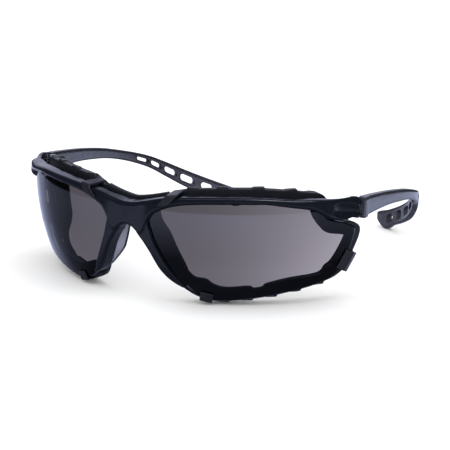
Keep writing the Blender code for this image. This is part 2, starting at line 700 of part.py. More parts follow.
def hinge_pin(side, name, coll, cutters, mat):
    """A headed pin that rests on the upper ear and passes through both ears and the knuckle."""
    low, high = hinge_heights()
    bottom = low - GAP - EAR_HEIGHT
    top = high + GAP + EAR_HEIGHT
    pin = cylinder(name, hinge_point(side), PIN_RADIUS, bottom, top + GAP + 0.2, coll, 16, mat)
    head = cylinder(name + "_head", hinge_point(side), PIN_HEAD_RADIUS, top + GAP,
                    top + GAP + PIN_HEAD_HEIGHT, cutters, 20)
    combine(pin, head, "UNION")
    return pin


# ---------------------------------------------------------------- assembly

def trim_underside(parts, names, cutters):
    """Cut small flats where the glasses touch the surface that they are set down on."""
    for name in names:
        below = box("below_" + name, (-90.0, -90.0, -6.0), (90.0, 90.0, 0.0), cutters)
        combine(parts.objects[name], below, "DIFFERENCE")


def build():
    clear_scene()
    parts = new_collection(NAME)
    cutters = new_collection("cutters")
    frame_plastic = new_material("frame_plastic", (0.012, 0.015, 0.022), 0.18)
    lens_plastic = new_material("lens_plastic", (0.16, 0.155, 0.18), 0.03, alpha=0.6)
    smoke_plastic = new_material("smoke_plastic", (0.06, 0.055, 0.07), 0.12, alpha=0.85)
    carrier_rubber = new_material("carrier_rubber", (0.02, 0.022, 0.03), 0.45)
    black_foam = new_material("black_foam", (0.012, 0.012, 0.014), 0.95)
    steel = new_material("steel", (0.55, 0.55, 0.56), 0.3, metallic=1.0)

    frame_front(parts, cutters, frame_plastic)
    gasket_carrier(parts, cutters, carrier_rubber)
    for side, word in ((1, "left"), (-1, "right")):
        lens_solid(f"lens_{word}", side, parts, lens_plastic)
        ring_solid(f"foam_{word}", side, foam_section, parts, black_foam)
        temple(side, f"temple_{word}", parts, cutters, smoke_plastic)
        hinge_pin(side, f"hinge_pin_{word}", parts, cutters, steel)
    trim_underside(parts, ("gasket_carrier", "temple_left", "temple_right"), cutters)


build()
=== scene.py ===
"""Looks of the wraparound safety glasses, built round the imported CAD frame.

The visible pieces are rebuilt at a finer resolution on the same curved sheet as the CAD: u runs
sideways from the nose, z runs up, off is the distance in front of the lens.  Lengths are in
millimetres until a mesh is made, and in metres after that.
"""

import math

import bmesh
import bpy
import numpy as np
from mathutils import Matrix, Vector


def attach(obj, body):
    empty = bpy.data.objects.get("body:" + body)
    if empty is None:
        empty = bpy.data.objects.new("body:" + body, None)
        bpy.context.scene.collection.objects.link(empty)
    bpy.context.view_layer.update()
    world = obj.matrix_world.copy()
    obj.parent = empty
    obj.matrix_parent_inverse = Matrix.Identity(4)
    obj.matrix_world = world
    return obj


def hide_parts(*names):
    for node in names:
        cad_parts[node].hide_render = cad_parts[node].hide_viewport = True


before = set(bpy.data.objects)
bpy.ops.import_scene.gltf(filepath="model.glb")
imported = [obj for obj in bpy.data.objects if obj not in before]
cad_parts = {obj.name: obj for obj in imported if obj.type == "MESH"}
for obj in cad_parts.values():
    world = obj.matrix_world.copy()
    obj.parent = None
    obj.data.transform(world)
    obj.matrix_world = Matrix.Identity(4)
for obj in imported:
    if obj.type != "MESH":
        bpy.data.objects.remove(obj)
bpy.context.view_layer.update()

MM = 0.001
SIDES = ((1, "left"), (-1, "right"))
GAP = 0.3                                   # clearance between neighbouring pieces

# The camera's own axes, and where it stands in mm
CAMERA_RIGHT = Vector((0.86589, 0.50017, 0.00786))
CAMERA_UP = Vector((-0.13456, 0.21776, 0.96668))
CAMERA_BACK = Vector((0.48180, -0.83810, 0.25586))
CAMERA_PLACE = Vector((315.47, -551.85, 180.56))
CAMERA_LENS, SENSOR_WIDTH = 130.03, 36.0

# ---------------------------------------------------------------- the curved sheet

WRAP_RADIUS = 78.7
FLAT_HALF_WIDTH = 1.2
TALL_RADIUS = 80.0
APEX_HEIGHT = 32.0
REST_TILT = math.radians(0.9)
Y_CENTRE = 73.37
FRONT_LIFT = 0.55
LENS_THICKNESS = 2.2
LENS_CENTRE = np.array((45.0, 20.0))

LENS_OUTLINE = [
    (6.8, 32.5), (12.3, 37.6), (20.5, 39.4), (31.0, 40.4), (42.0, 40.6), (52.0, 40.2),
    (62.0, 38.5), (71.5, 36.6), (76.0, 31.8), (83.0, 29.6), (87.3, 27.2), (86.8, 22.5),
    (84.4, 15.5), (81.6, 10.2), (75.5, 7.2), (60.0, 3.8), (45.0, 1.6), (33.0, 0.8),
    (25.6, 2.6), (18.9, 7.0), (14.4, 11.5), (10.6, 18.4), (7.6, 25.5),
]
GASKET_OUTER = [
    (7.6, 36.3), (17.5, 41.5), (26.0, 42.9), (38.0, 43.4), (50.0, 43.3), (62.0, 42.2),
    (70.0, 41.0), (74.6, 40.2), (77.4, 38.4), (78.4, 35.0), (81.0, 30.6), (89.2, 28.3),
    (92.3, 25.0), (90.3, 18.4), (85.9, 9.4), (77.0, 5.6), (60.0, 2.4), (45.0, 0.4),
    (33.0, -0.1), (24.2, 2.2), (18.9, 6.8), (16.6, 12.0), (13.2, 19.0), (10.0, 26.0),
    (6.8, 31.0),
]
GASKET_INNER = [
    (10.0, 32.0), (14.0, 36.6), (22.0, 38.9), (31.0, 39.8), (42.0, 40.0), (52.0, 39.6),
    (61.0, 38.0), (69.5, 35.9), (72.4, 31.0), (76.4, 26.0), (83.6, 24.2), (87.2, 22.3),
    (85.2, 17.8), (81.4, 12.9), (78.6, 11.4), (75.8, 9.1), (63.0, 8.4), (53.6, 6.9),
    (52.0, 5.6), (47.9, 5.2), (46.4, 6.1), (36.0, 5.6), (28.4, 8.0), (23.4, 8.8),
    (19.2, 13.6), (17.0, 19.0), (14.8, 25.0),
]
BROW = np.array([
    (0.0, 28.8, 37.6), (1.5, 28.5, 37.6), (3.0, 27.6, 37.8), (4.6, 26.2, 38.1),
    (6.4, 26.2, 38.5), (8.6, 31.0, 39.0), (10.2, 33.4, 39.4),
    (13.0, 35.2, 40.0), (17.0, 36.8, 40.6), (21.0, 37.8, 41.0), (26.0, 38.4, 41.3),
    (31.0, 38.7, 41.5), (36.0, 38.8, 41.6), (42.0, 38.9, 41.6), (47.0, 38.8, 41.5),
    (52.0, 38.7, 41.2), (57.0, 37.9, 40.7), (61.5, 37.1, 40.2), (66.0, 36.3, 39.9),
    (70.0, 35.3, 39.7), (73.0, 33.4, 39.4), (75.5, 31.8, 39.1), (78.0, 30.9, 38.8),
    (81.0, 30.4, 38.6), (84.0, 30.3, 38.6), (87.0, 31.0, 38.6), (89.2, 32.6, 38.2),
    (90.2, 34.2, 37.4),
])
NOSE_ARM = np.array([
    (30.4, 3.4, 8.6), (27.4, 3.4, 9.6), (25.6, 4.5, 10.1), (24.0, 5.8, 10.6),
    (20.0, 8.4, 12.4), (16.0, 10.5, 14.4),
    (12.0, 12.8, 16.8), (9.0, 15.2, 18.9), (7.0, 17.8, 20.4), (5.8, 20.0, 21.6),
])


def wrap(u, z, off):
    """Bend points of the flat sheet round the face."""
    u, z, off = np.broadcast_arrays(np.asarray(u, float), np.asarray(z, float), np.asarray(off, float))
    side = np.where(u < 0, -1.0, 1.0)
    reach = np.abs(u)
    angle = np.maximum(reach - FLAT_HALF_WIDTH, 0.0) / WRAP_RADIUS
    radius = WRAP_RADIUS - (z - APEX_HEIGHT) ** 2 / (2 * TALL_RADIUS) + off
    x = side * (np.minimum(reach, FLAT_HALF_WIDTH) + radius * np.sin(angle))
    y = WRAP_RADIUS - radius * np.cos(angle)
    back = y * math.cos(REST_TILT) - z * math.sin(REST_TILT)
    up = z * math.cos(REST_TILT) + y * math.sin(REST_TILT)
    return np.stack([x, back - Y_CENTRE, up + FRONT_LIFT], axis=-1)


def smooth_step(value, start, end):
    t = np.clip((np.asarray(value, float) - start) / (end - start), 0.0, 1.0)
    return t * t * (3 - 2 * t)


def read_table(table, keys):
    """Smooth curves through a table's columns, read at the given keys."""
    xs, ys = table[:, 0], table[:, 1:]
    slope = np.gradient(ys, xs, axis=0)
    keys = np.clip(keys, xs[0], xs[-1])
    i = np.clip(np.searchsorted(xs, keys, side="right") - 1, 0, len(xs) - 2)
    h = (xs[i + 1] - xs[i])[:, None]
    t = ((keys - xs[i])[:, None]) / h
    return (ys[i] * (2 * t ** 3 - 3 * t ** 2 + 1) + slope[i] * h * (t ** 3 - 2 * t ** 2 + t)
            + ys[i + 1] * (3 * t ** 2 - 2 * t ** 3) + slope[i + 1] * h * (t ** 3 - t ** 2))


def spline(points, per_span=12):
    """A closed, smooth curve through the points of an outline."""
    p = np.asarray(points, float)
    before, after, beyond = np.roll(p, 1, 0), np.roll(p, -1, 0), np.roll(p, -2, 0)
    t = (np.arange(per_span) / per_span)[None, :, None]
    p0, p1, p2, p3 = (q[:, None, :] for q in (before, p, after, beyond))
    curve = 0.5 * (2 * p1 + (p2 - p0) * t + (2 * p0 - 5 * p1 + 4 * p2 - p3) * t ** 2
                   + (3 * p1 - p0 - 3 * p2 + p3) * t ** 3)
    return curve.reshape(-1, 2)


def polar(points):
    d = np.asarray(points) - LENS_CENTRE
    return np.arctan2(d[..., 1], d[..., 0]), np.hypot(d[..., 0], d[..., 1])


def even_angles(points, count):
    """Directions from the lens's centre to points spaced evenly along an outline."""
    curve = spline(points)
    closed = np.vstack([curve, curve[:1]])
    run = np.concatenate([[0], np.cumsum(np.linalg.norm(np.diff(closed, axis=0), axis=1))])
    where = np.linspace(0, run[-1], count, endpoint=False)
    even = np.stack([np.interp(where, run, closed[:, k]) for k in (0, 1)], axis=1)
    angles = np.unwrap(polar(even)[0])
    return angles


def radius_at(points, angles):
    a, r = polar(spline(points))
    order = np.argsort(a)
    a, r = a[order], r[order]
    a = np.concatenate([a - math.tau, a, a + math.tau])
    r = np.tile(r, 3)
    wrapped = (np.asarray(angles) + math.pi) % math.tau - math.pi
    return np.interp(wrapped, a, r)


def at(angles, radii):
    return LENS_CENTRE[0] + radii * np.cos(angles), LENS_CENTRE[1] + radii * np.sin(angles)


# ---------------------------------------------------------------- mesh helpers

def sweep(rings, closed=False):
    """Points and faces of a skin through rings of points, capped unless it closes on itself."""
    rings = np.asarray(rings, float)
    n, k, _ = rings.shape
    faces = []
    for i in range(n if closed else n - 1):
        a, b = i * k, (i + 1) % n * k
        faces += [(a + j, a + (j + 1) % k, b + (j + 1) % k, b + j) for j in range(k)]
    if not closed:
        faces += [tuple(range(k))[::-1], tuple(range((n - 1) * k, n * k))]
    return rings.reshape(-1, 3), faces


def round_bar(corners, corner_radius, steps=5):
    """Round the corners of closed cross-sections: corners is (..., k, 2)."""
    c = np.asarray(corners, float)
    ahead, behind = np.roll(c, -1, -2) - c, np.roll(c, 1, -2) - c
    la = np.linalg.norm(ahead, axis=-1, keepdims=True)
    lb = np.linalg.norm(behind, axis=-1, keepdims=True)
    cut = np.minimum(corner_radius, 0.45 * np.minimum(la, lb))
    start, end = c + behind / lb * cut, c + ahead / la * cut
    rows = []
    for t in np.linspace(0, 1, steps):
        rows.append((1 - t) ** 2 * start + 2 * t * (1 - t) * c + t * t * end)
    out = np.stack(rows, axis=-2)
    return out.reshape(*c.shape[:-2], -1, 2)


def corner_rows(*corners):
    """Pairs of station values, one pair for each corner, as an array of (station, corner, 2)."""
    return np.stack([np.stack(np.broadcast_arrays(*pair), -1) for pair in corners], axis=1)


def mesh_from(name, points, faces):
    mesh = bpy.data.meshes.new(name)
    mesh.from_pydata((np.asarray(points) * MM).tolist(), [], faces)
    bm = bmesh.new()
    bm.from_mesh(mesh)
    bmesh.ops.recalc_face_normals(bm, faces=bm.faces)
    bm.to_mesh(mesh)
    bm.free()
    return mesh


def piece(name, mesh, body, mat):
    """Put a mesh in the scene as a visible piece that rides on a CAD body."""
    obj = bpy.data.objects.new(name, mesh)
    bpy.context.scene.collection.objects.link(obj)
    for polygon in mesh.polygons:
        polygon.use_smooth = True
    mesh.materials.clear()
    mesh.materials.append(mat)
    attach(obj, body)
    return obj


def bake(obj):
    """Replace an object's mesh by what its modifiers make of it."""
    graph = bpy.context.evaluated_depsgraph_get()
    result = bpy.data.meshes.new_from_object(obj.evaluated_get(graph))
    result.name = obj.name
    obj.modifiers.clear()
    obj.data = result
    return result


def fuse(name, solids, voxel, passes, cutters=()):
    """Melt solids into one skin with small fillets, as a mould would leave them."""
    points, faces = [], []
    base = 0
    for p, f in solids:
        mesh = mesh_from("part", p, f)
        points.append(np.array([v.co for v in mesh.vertices]))
        faces += [tuple(base + i for i in polygon.vertices) for polygon in mesh.polygons]
        base += len(mesh.vertices)
        bpy.data.meshes.remove(mesh)
    mesh = bpy.data.meshes.new(name)
    mesh.from_pydata(np.vstack(points).tolist(), [], faces)
    obj = bpy.data.objects.new(name + "_work", mesh)
    bpy.context.scene.collection.objects.link(obj)
    remesh = obj.modifiers.new("melt", "REMESH")
    remesh.mode = "VOXEL"
    remesh.voxel_size = voxel * MM
    tools = []
    for p, f in cutters:
        tool = bpy.data.objects.new("tool", mesh_from("tool", p, f))
        bpy.context.scene.collection.objects.link(tool)
        tools.append(tool)
        cut = obj.modifiers.new("cut", "BOOLEAN")
        cut.object, cut.operation, cut.solver = tool, "DIFFERENCE", "EXACT"
    if tools:
        again = obj.modifiers.new("melt_again", "REMESH")
        again.mode = "VOXEL"
        again.voxel_size = voxel * MM
    ease = obj.modifiers.new("ease", "SMOOTH")
    ease.factor = 0.5
    ease.iterations = passes
    result = bake(obj)
    for used in tools + [obj]:
        bpy.data.objects.remove(used)
    return result


# ---------------------------------------------------------------- materials

class Shade:
    """A short way to write a material's node tree."""

    def __init__(self, name):
        self.mat = bpy.data.materials.new(name)
        self.mat.use_nodes = True
        self.tree = self.mat.node_tree
        self.tree.nodes.clear()
        self.out = self.add("ShaderNodeOutputMaterial")

    def add(self, kind, **inputs):
        node = self.tree.nodes.new(kind)
        for key, value in inputs.items():
            self.put(node, key.replace("_", " "), value)
        return node

    def put(self, node, key, value):
        socket = node.inputs[int(key)] if key.isdigit() else node.inputs[key]
        if isinstance(value, bpy.types.NodeSocket):
            self.tree.links.new(value, socket)
        else:
            socket.default_value = value

    def math(self, operation, a, b=0.0, c=0.0):
        node = self.tree.nodes.new("ShaderNodeMath")
        node.operation = operation
        for i, value in enumerate((a, b, c)):
            self.put(node, str(i), value)
        return node.outputs[0]

    def noise(self, scale, detail=2.0, rough=0.5, vector=None):
        node = self.add("ShaderNodeTexNoise", Scale=scale, Detail=detail, Roughness=rough)
        self.put(node, "Vector", vector or self.place())
        return node.outputs["Fac"]

    def place(self):
        return self.add("ShaderNodeNewGeometry").outputs["Position"]

    def span(self, value, a, b, to_a, to_b):
        node = self.tree.nodes.new("ShaderNodeMapRange")
        for i, v in enumerate((value, a, b, to_a, to_b)):
            self.put(node, str(i), v)
        return node.outputs[0]

    def mix_colour(self, share, a, b):
        node = self.tree.nodes.new("ShaderNodeMix")
        node.data_type = "RGBA"
        for key, v in (("0", share), ("6", a), ("7", b)):
            self.put(node, key, v)
        return node.outputs[2]

    def mix(self, share, a, b):
        node = self.tree.nodes.new("ShaderNodeMixShader")
        for key, v in (("0", share), ("1", a), ("2", b)):
            self.put(node, key, v)
        return node.outputs[0]

    def bump(self, height, strength, distance):
        node = self.add("ShaderNodeBump", Strength=strength, Distance=distance, Height=height)
        return node.outputs[0]

    def finish(self, shader):
        self.tree.links.new(shader, self.out.inputs["Surface"])
        return self.mat


def frame_gloss():
    """Near-black moulded plastic with a polished skin."""
    s = Shade("frame_gloss")
    drift = s.noise(60.0, 3.0)
    colour = s.mix_colour(drift, (0.003, 0.004, 0.007, 1), (0.007, 0.009, 0.015, 1))
    rough = s.span(s.noise(900.0, 4.0), 0.3, 0.7, 0.10, 0.20)
    normal = s.bump(s.noise(700.0, 3.0), 0.05, 0.0002)
    shader = s.add("ShaderNodeBsdfPrincipled", Base_Color=colour, Roughness=rough, Normal=normal, IOR=1.36)
    return s.finish(shader.outputs[0])


def lens_tint():
    """Thin smoke-tinted polycarbonate: tinted see-through with a lilac hard-coat reflection, with painted
    light that makes it lighter towards the bottom and painted shade that darkens its rim.
    """
    s = Shade("lens_tint")
    height = s.add("ShaderNodeSeparateXYZ", Vector=s.place()).outputs["Z"]
    # Painted light: the see-through tint is lighter towards the bottom, standing in for the brighter light
    # seen through the lower lens.
    tone = s.span(height, 0.010, 0.036, 0.0, 1.0)
    tint = s.mix_colour(tone, (0.308, 0.299, 0.320, 1), (0.298, 0.288, 0.306, 1))
    rim = s.add("ShaderNodeAttribute")
    rim.attribute_name = "rim"
    # Painted shade: the see-through tint goes near-black towards the rim.
    tint = s.mix_colour(rim.outputs["Fac"], tint, (0.02, 0.021, 0.032, 1))
    clear = s.add("ShaderNodeBsdfTransparent", Color=tint)
    rough = s.span(s.noise(400.0, 5.0), 0.3, 0.75, 0.015, 0.05)
    coat = s.add("ShaderNodeBsdfGlossy", Color=(0.96, 0.96, 1.0, 1), Roughness=rough)
    fresnel = s.add("ShaderNodeFresnel", IOR=1.5).outputs[0]
    outside = s.math("SUBTRACT", 1.0, s.add("ShaderNodeNewGeometry").outputs["Backfacing"])
    share = s.math("MULTIPLY", fresnel, outside)
    return s.finish(s.mix(share, clear.outputs[0], coat.outputs[0]))


def smoke_plastic():
    """Translucent smoke-grey plastic for the temples."""
    s = Shade("smoke_plastic")
    cloud = s.noise(90.0, 4.0)
    body = s.mix_colour(cloud, (0.009, 0.009, 0.013, 1), (0.020, 0.020, 0.028, 1))
    rough = s.span(s.noise(600.0, 3.0), 0.3, 0.7, 0.08, 0.18)
    normal = s.bump(s.noise(300.0, 2.0), 0.02, 0.0002)
    skin = s.add("ShaderNodeBsdfPrincipled", Base_Color=body, Roughness=rough, Normal=normal, IOR=1.95)
    tint = s.mix_colour(cloud, (0.33, 0.33, 0.37, 1), (0.44, 0.43, 0.48, 1))
    clear = s.add("ShaderNodeBsdfTransparent", Color=tint)
    facing = s.add("ShaderNodeLayerWeight", Blend=0.5).outputs["Facing"]
    share = s.span(facing, 0.0, 0.85, 0.34, 0.07)
    return s.finish(s.mix(share, skin.outputs[0], clear.outputs[0]))


def carrier_satin():
    """Dark slate rubber with a fine satin grain."""
    s = Shade("carrier_satin")
    patch = s.noise(120.0, 4.0)
    colour = s.mix_colour(patch, (0.007, 0.008, 0.012, 1), (0.014, 0.015, 0.023, 1))
    grain = s.noise(3200.0, 2.0)
    rough = s.span(patch, 0.3, 0.7, 0.30, 0.42)
    normal = s.bump(grain, 0.15, 0.0001)
    shader = s.add("ShaderNodeBsdfPrincipled", Base_Color=colour, Roughness=rough, Normal=normal, IOR=1.45)
    return s.finish(shader.outputs[0])


def leaf_smoke():
    """Thin clear-smoke plastic of the nose flanges."""
    s = Shade("leaf_smoke")
    cloud = s.noise(250.0, 3.0)
    tint = s.mix_colour(cloud, (0.74, 0.76, 0.88, 1), (0.84, 0.85, 0.94, 1))
    clear = s.add("ShaderNodeBsdfTransparent", Color=tint)
    rough = s.span(cloud, 0.3, 0.7, 0.08, 0.16)
    normal = s.bump(s.noise(600.0, 2.0), 0.05, 0.0001)
    skin = s.add("ShaderNodeBsdfPrincipled", Base_Color=(0.05, 0.052, 0.065, 1), Roughness=rough,
                 Normal=normal, IOR=1.5)
    facing = s.add("ShaderNodeLayerWeight", Blend=0.5).outputs["Facing"]
    share = s.span(facing, 0.0, 0.95, 0.82, 0.25)
    return s.finish(s.mix(share, skin.outputs[0], clear.outputs[0]))


def foam_black():
    """Open-cell black foam: pitted and matt, with painted shade that darkens the pits and leaves the
    raised cell walls slightly lighter.
    """
    s = Shade("foam_black")
    cells = s.add("ShaderNodeTexVoronoi", Scale=1500.0, Vector=s.place())
    cells.feature = "F1"
    wall = cells.outputs["Distance"]
    # Painted shade: darker in the cell pits, lighter on the raised walls.
    colour = s.mix_colour(wall, (0.003, 0.003, 0.004, 1), (0.020, 0.020, 0.023, 1))
    normal = s.bump(wall, 0.7, 0.0003)
    shader = s.add("ShaderNodeBsdfPrincipled", Base_Color=colour, Roughness=0.95, Normal=normal, IOR=1.3)
    return s.finish(shader.outputs[0])


def pin_steel():
    """Turned steel with fine rings."""
    s = Shade("pin_steel")
    height = s.add("ShaderNodeSeparateXYZ", Vector=s.place()).outputs["Z"]
    rings = s.math("SINE", s.math("MULTIPLY", height, 42000.0))
    rough = s.span(rings, -1.0, 1.0, 0.22, 0.4)
    colour = s.mix_colour(s.noise(2000.0), (0.35, 0.35, 0.36, 1), (0.6, 0.6, 0.62, 1))
    normal = s.bump(rings, 0.1, 0.00005)
    shader = s.add("ShaderNodeBsdfPrincipled", Base_Color=colour, Roughness=rough, Metallic=1.0,
                   Normal=normal)
    return s.finish(shader.outputs[0])


FRAME_GLOSS, LENS_TINT, SMOKE = frame_gloss(), lens_tint(), smoke_plastic()
SATIN, FOAM, STEEL, LEAF = carrier_satin(), foam_black(), pin_steel(), leaf_smoke()

# ---------------------------------------------------------------- frame front

BROW_FRONT, BROW_BACK = 2.2, -4.2
BROW_REBATE, BRIDGE_HALF, REBATE_FULL = 1.9, 3.0, 10.0
LUG_START, LUG_END, LUG_BACK, LUG_TUCK = 72.0, 90.2, -1.6, 1.9
LUG_THINNED, LUG_TUCKED = 5.0, 10.0         # how far past its start the lug is thin, and drawn in
NOSE_FRONT, NOSE_TUCK = 1.8, 1.2
LEDGE_WIDTH, LEDGE_BACK = 2.2, -4.4
LEAF_MIDDLE, LEAF_HALF, LEAF_DEPTH, LEAF_LEAN = 18.0, 9.7, 5.9, (-0.6, 1.6)
LEAF_RIM, LEAF_THICKNESS = 0.55, 0.7
SCOOP_FROM, SCOOP_TO, SCOOP_HEIGHT, SCOOP_RADIUS = 77.5, 88.6, 33.7, 3.1
SCOOP_FLATNESS, SCOOP_PROUD = 0.42, 0.1


def lug_face(us):
    """Distance of the frame's face in front of the lens, drawing in along the lug."""
    return BROW_FRONT - LUG_TUCK * smooth_step(us, LUG_START, LUG_START + LUG_TUCKED)


def brow_rings():
    fine = LUG_END - 4.2
    half = np.concatenate([np.arange(0.0, fine, 0.7), np.arange(fine, LUG_END + 0.01, 0.3)])
    us = np.concatenate([-half[:0:-1], half])
    reach = np.abs(us)
    low, top = read_table(BROW, reach).T
    lug = smooth_step(reach, LUG_START, LUG_START + LUG_THINNED)
    back = BROW_BACK + (LUG_BACK - BROW_BACK) * lug
    front = lug_face(reach)
    rebate = np.minimum(BROW_REBATE, 0.4 * (top - low)) * (1.0 - lug)
    rebate *= smooth_step(reach, BRIDGE_HALF, REBATE_FULL)
    corners = corner_rows((low + 0.1, front - 1.2), (low + 1.0, front), (top - 0.6, front - 0.1),
                          (top, front - 0.9), (top, back + 0.1 + rebate), (top - rebate, back),
                          (low, back))
    profile = round_bar(corners, 0.35, 4)
    return wrap(us[:, None], profile[..., 0], profile[..., 1])


def nose_arm_rings(side):
    """One side of the nose bridge, with the ledge that runs behind the lens's edge."""
    zs = np.linspace(NOSE_ARM[0, 0], NOSE_ARM[-1, 0], 60)
    inner, outer = read_table(NOSE_ARM[::-1], zs).T
    front = NOSE_FRONT - NOSE_TUCK * (1.0 - smooth_step(zs, 5.8, 14.0))
    behind_lens = -LENS_THICKNESS - GAP
    ledge = outer + LEDGE_WIDTH * smooth_step(zs, 5.8, 9.0) + 0.05
    corners = corner_rows((inner, front - 0.8), (inner + 0.8, front), (outer, front - 0.5),
                          (outer, behind_lens), (ledge, behind_lens), (ledge, LEDGE_BACK),
                          (inner, LEDGE_BACK))
    profile = round_bar(corners, 0.4, 4)
    return wrap(side * profile[..., 0], zs[:, None], profile[..., 1])


def leaf_line(zs):
    """Where the nose flange's free edge runs: sideways place and depth at each height."""
    inner = read_table(NOSE_ARM[::-1], zs)[:, 0]
    reach = np.sqrt(np.clip(1.0 - ((zs - LEAF_MIDDLE) / LEAF_HALF) ** 2, 0.0, 1.0))
    lean = LEAF_LEAN[0] + (LEAF_LEAN[1] - LEAF_LEAN[0]) * (1.0 - smooth_step(zs, 9.0, 17.0))
    return inner, inner + 0.6 + lean * reach, LEDGE_BACK + 0.8 - LEAF_DEPTH * reach


def leaf_rim_rings(side):
    zs = LEAF_MIDDLE + LEAF_HALF * np.cos(np.linspace(0.06, math.pi - 0.06, 70))
    _, edge, back = leaf_line(zs)
    turn = np.arange(12) / 12 * math.tau
    u = edge[:, None] + LEAF_RIM * np.cos(turn)
    off = back[:, None] + LEAF_RIM * np.sin(turn)
    return wrap(side * u, zs[:, None], off)


def leaf_rings(side):
    zs = LEAF_MIDDLE + (LEAF_HALF - 0.4) * np.cos(np.linspace(0.1, math.pi - 0.1, 60))
    inner, edge, back = leaf_line(zs)
    root, start, half = inner + 0.6, LEDGE_BACK + 1.2, LEAF_THICKNESS / 2
    corners = corner_rows((root - half, start), (root + half, start),
                          (edge + half, back + 0.2), (edge - half, back + 0.2))
    profile = round_bar(corners, 0.15, 3)
    return wrap(side * profile[..., 0], zs[:, None], profile[..., 1])


HINGE = (67.6, 46.9 - Y_CENTRE, 34.7)
EAR_HEIGHT, KNUCKLE_HALF, KNUCKLE_RADIUS = 1.7, 1.0, 2.1
ROOT_INSET = 0.12                           # how far a root stays inside its eye, above and below
EAR_ROOT_WIDTH, EAR_ROOT_FRONT, EAR_ROOT_BACK = 4.4, 4.6, 1.5
WEB_WIDTH, WEB_LENGTH = 3.6, 3.7


def disc_rings(centre, radius, low, high, count=40, ease=0.25):
    """Rings of an upright disc with rounded rims."""
    turn = np.arange(count) / count * math.tau
    rows = []
    for r, z in ((radius - ease, low), (radius - ease * 0.3, low + ease * 0.3), (radius, low + ease),
                 (radius, high - ease), (radius - ease * 0.3, high - ease * 0.3), (radius - ease, high)):
        rows.append(np.stack([centre[0] + r * np.cos(turn), centre[1] + r * np.sin(turn),
                              np.full(count, z)], -1))
    return np.array(rows)


def block_rings(low, high):
    (x0, y0, z0), (x1, y1, z1) = low, high
    return [[(x0, y0, z), (x1, y0, z), (x1, y1, z), (x0, y1, z)] for z in (z0, z1)]


def scoop_rings(side):
    """A shallow crescent pressed into the lug's front face."""
    share = np.sin(np.linspace(-math.pi / 2, math.pi / 2, 33))
    us = (SCOOP_FROM + SCOOP_TO) / 2 + (SCOOP_TO - SCOOP_FROM) / 2 * share
    radius = SCOOP_RADIUS * np.sqrt(np.clip(1.0 - share ** 2, 0.0, 1.0)) ** 0.7 + 0.01
    middle = SCOOP_HEIGHT - 0.9 * share + 0.5 * share ** 2
    turn = np.arange(24) / 24 * math.tau
    z = middle[:, None] + radius[:, None] * np.cos(turn)
    off = lug_face(us)[:, None] + SCOOP_PROUD + SCOOP_FLATNESS * radius[:, None] * np.sin(turn)
    return wrap(side * us[:, None], z, off)


def hinge_parts(side):
    x, y = side * HINGE[0], HINGE[1]
    parts = []
    for low in (HINGE[2] - KNUCKLE_HALF - GAP - EAR_HEIGHT, HINGE[2] + KNUCKLE_HALF + GAP):
        high = low + EAR_HEIGHT
        parts.append(sweep(disc_rings((x, y), KNUCKLE_RADIUS, low, high)))
        x_end = x + side * EAR_ROOT_WIDTH
        parts.append(sweep(block_rings((min(x, x_end), y - EAR_ROOT_FRONT, low + ROOT_INSET),
                                       (max(x, x_end), y - EAR_ROOT_BACK, high - ROOT_INSET))))
    return parts


frame_parts = [sweep(brow_rings())]
for side, _ in SIDES:
    frame_parts.append(sweep(nose_arm_rings(side)))
    frame_parts.append(sweep(leaf_rim_rings(side)))
    frame_parts += hinge_parts(side)
scoops = [sweep(scoop_rings(side)) for side, _ in SIDES]
front = piece("frame_front_moulding", fuse("frame_front_moulding", frame_parts, 0.26, 4, scoops),
              "front", FRAME_GLOSS)
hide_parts("frame_front")
for side, word in SIDES:
    name = f"nose_flange_{word}"
    points, faces = sweep(leaf_rings(side))
    piece(name, mesh_from(name, points, faces), "front", LEAF)

# ---------------------------------------------------------------- lenses

LENS_STATIONS = 220
# Painted shade: the lens darkens to near-black at its rim, standing in for the darkness seen through its
# thick edge.
PAINTED_RIM_SHADE = (0.955, 0.99)                   # share of the radius over which the rim darkens
EDGE_ROUNDING = 0.25
LENS_SCALES = np.concatenate([np.linspace(1.0, 0.9, 5), np.linspace(0.86, 0.06, 20)])


def lens_mesh(side, name):
    """Two domed skins on rings that follow the outline, joined by a rounded rim painted darker: painted
    shade for the lens's thick edge.
    """
    angles = even_angles(LENS_OUTLINE, LENS_STATIONS)
    radii = radius_at(LENS_OUTLINE, angles)
    rings, rims = [], []
    for off in (0.0, -LENS_THICKNESS):
        scales = LENS_SCALES[::-1] if off == 0.0 else LENS_SCALES
        for scale in scales:
            inset = EDGE_ROUNDING if scale == 1.0 else 0.0
            u, z = at(angles, radii * scale - inset)
            rings.append(wrap(side * u, z, off))
            rims.append(float(np.interp(scale, PAINTED_RIM_SHADE, (0.0, 1.0))))
        if off == 0.0:
            for share in (0.15, 0.5, 0.85):
                u, z = at(angles, radii)
                rings.append(wrap(side * u, z, -LENS_THICKNESS * share))
                rims.append(1.0)
    points, faces = sweep(rings)
    faces = faces[:-2]
    count = len(angles)
    for off, base in ((0.0, 0), (-LENS_THICKNESS, len(points) - count)):
        centre = len(points)
        points = np.vstack([points, wrap([side * LENS_CENTRE[0]], LENS_CENTRE[1], off)])
        faces += [(base + i, base + (i + 1) % count, centre) for i in range(count)]
    mesh = mesh_from(name, points, faces)
    rim = mesh.attributes.new("rim", "FLOAT", "POINT")
    rim.data.foreach_set("value", np.concatenate([np.repeat(rims, count), [0.0, 0.0]]))
    return mesh


for side, word in SIDES:
    lens = piece(f"lens_pane_{word}", lens_mesh(side, f"lens_pane_{word}"), "front",
                 LENS_TINT)
    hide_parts(f"lens_{word}")

# ---------------------------------------------------------------- gasket carrier

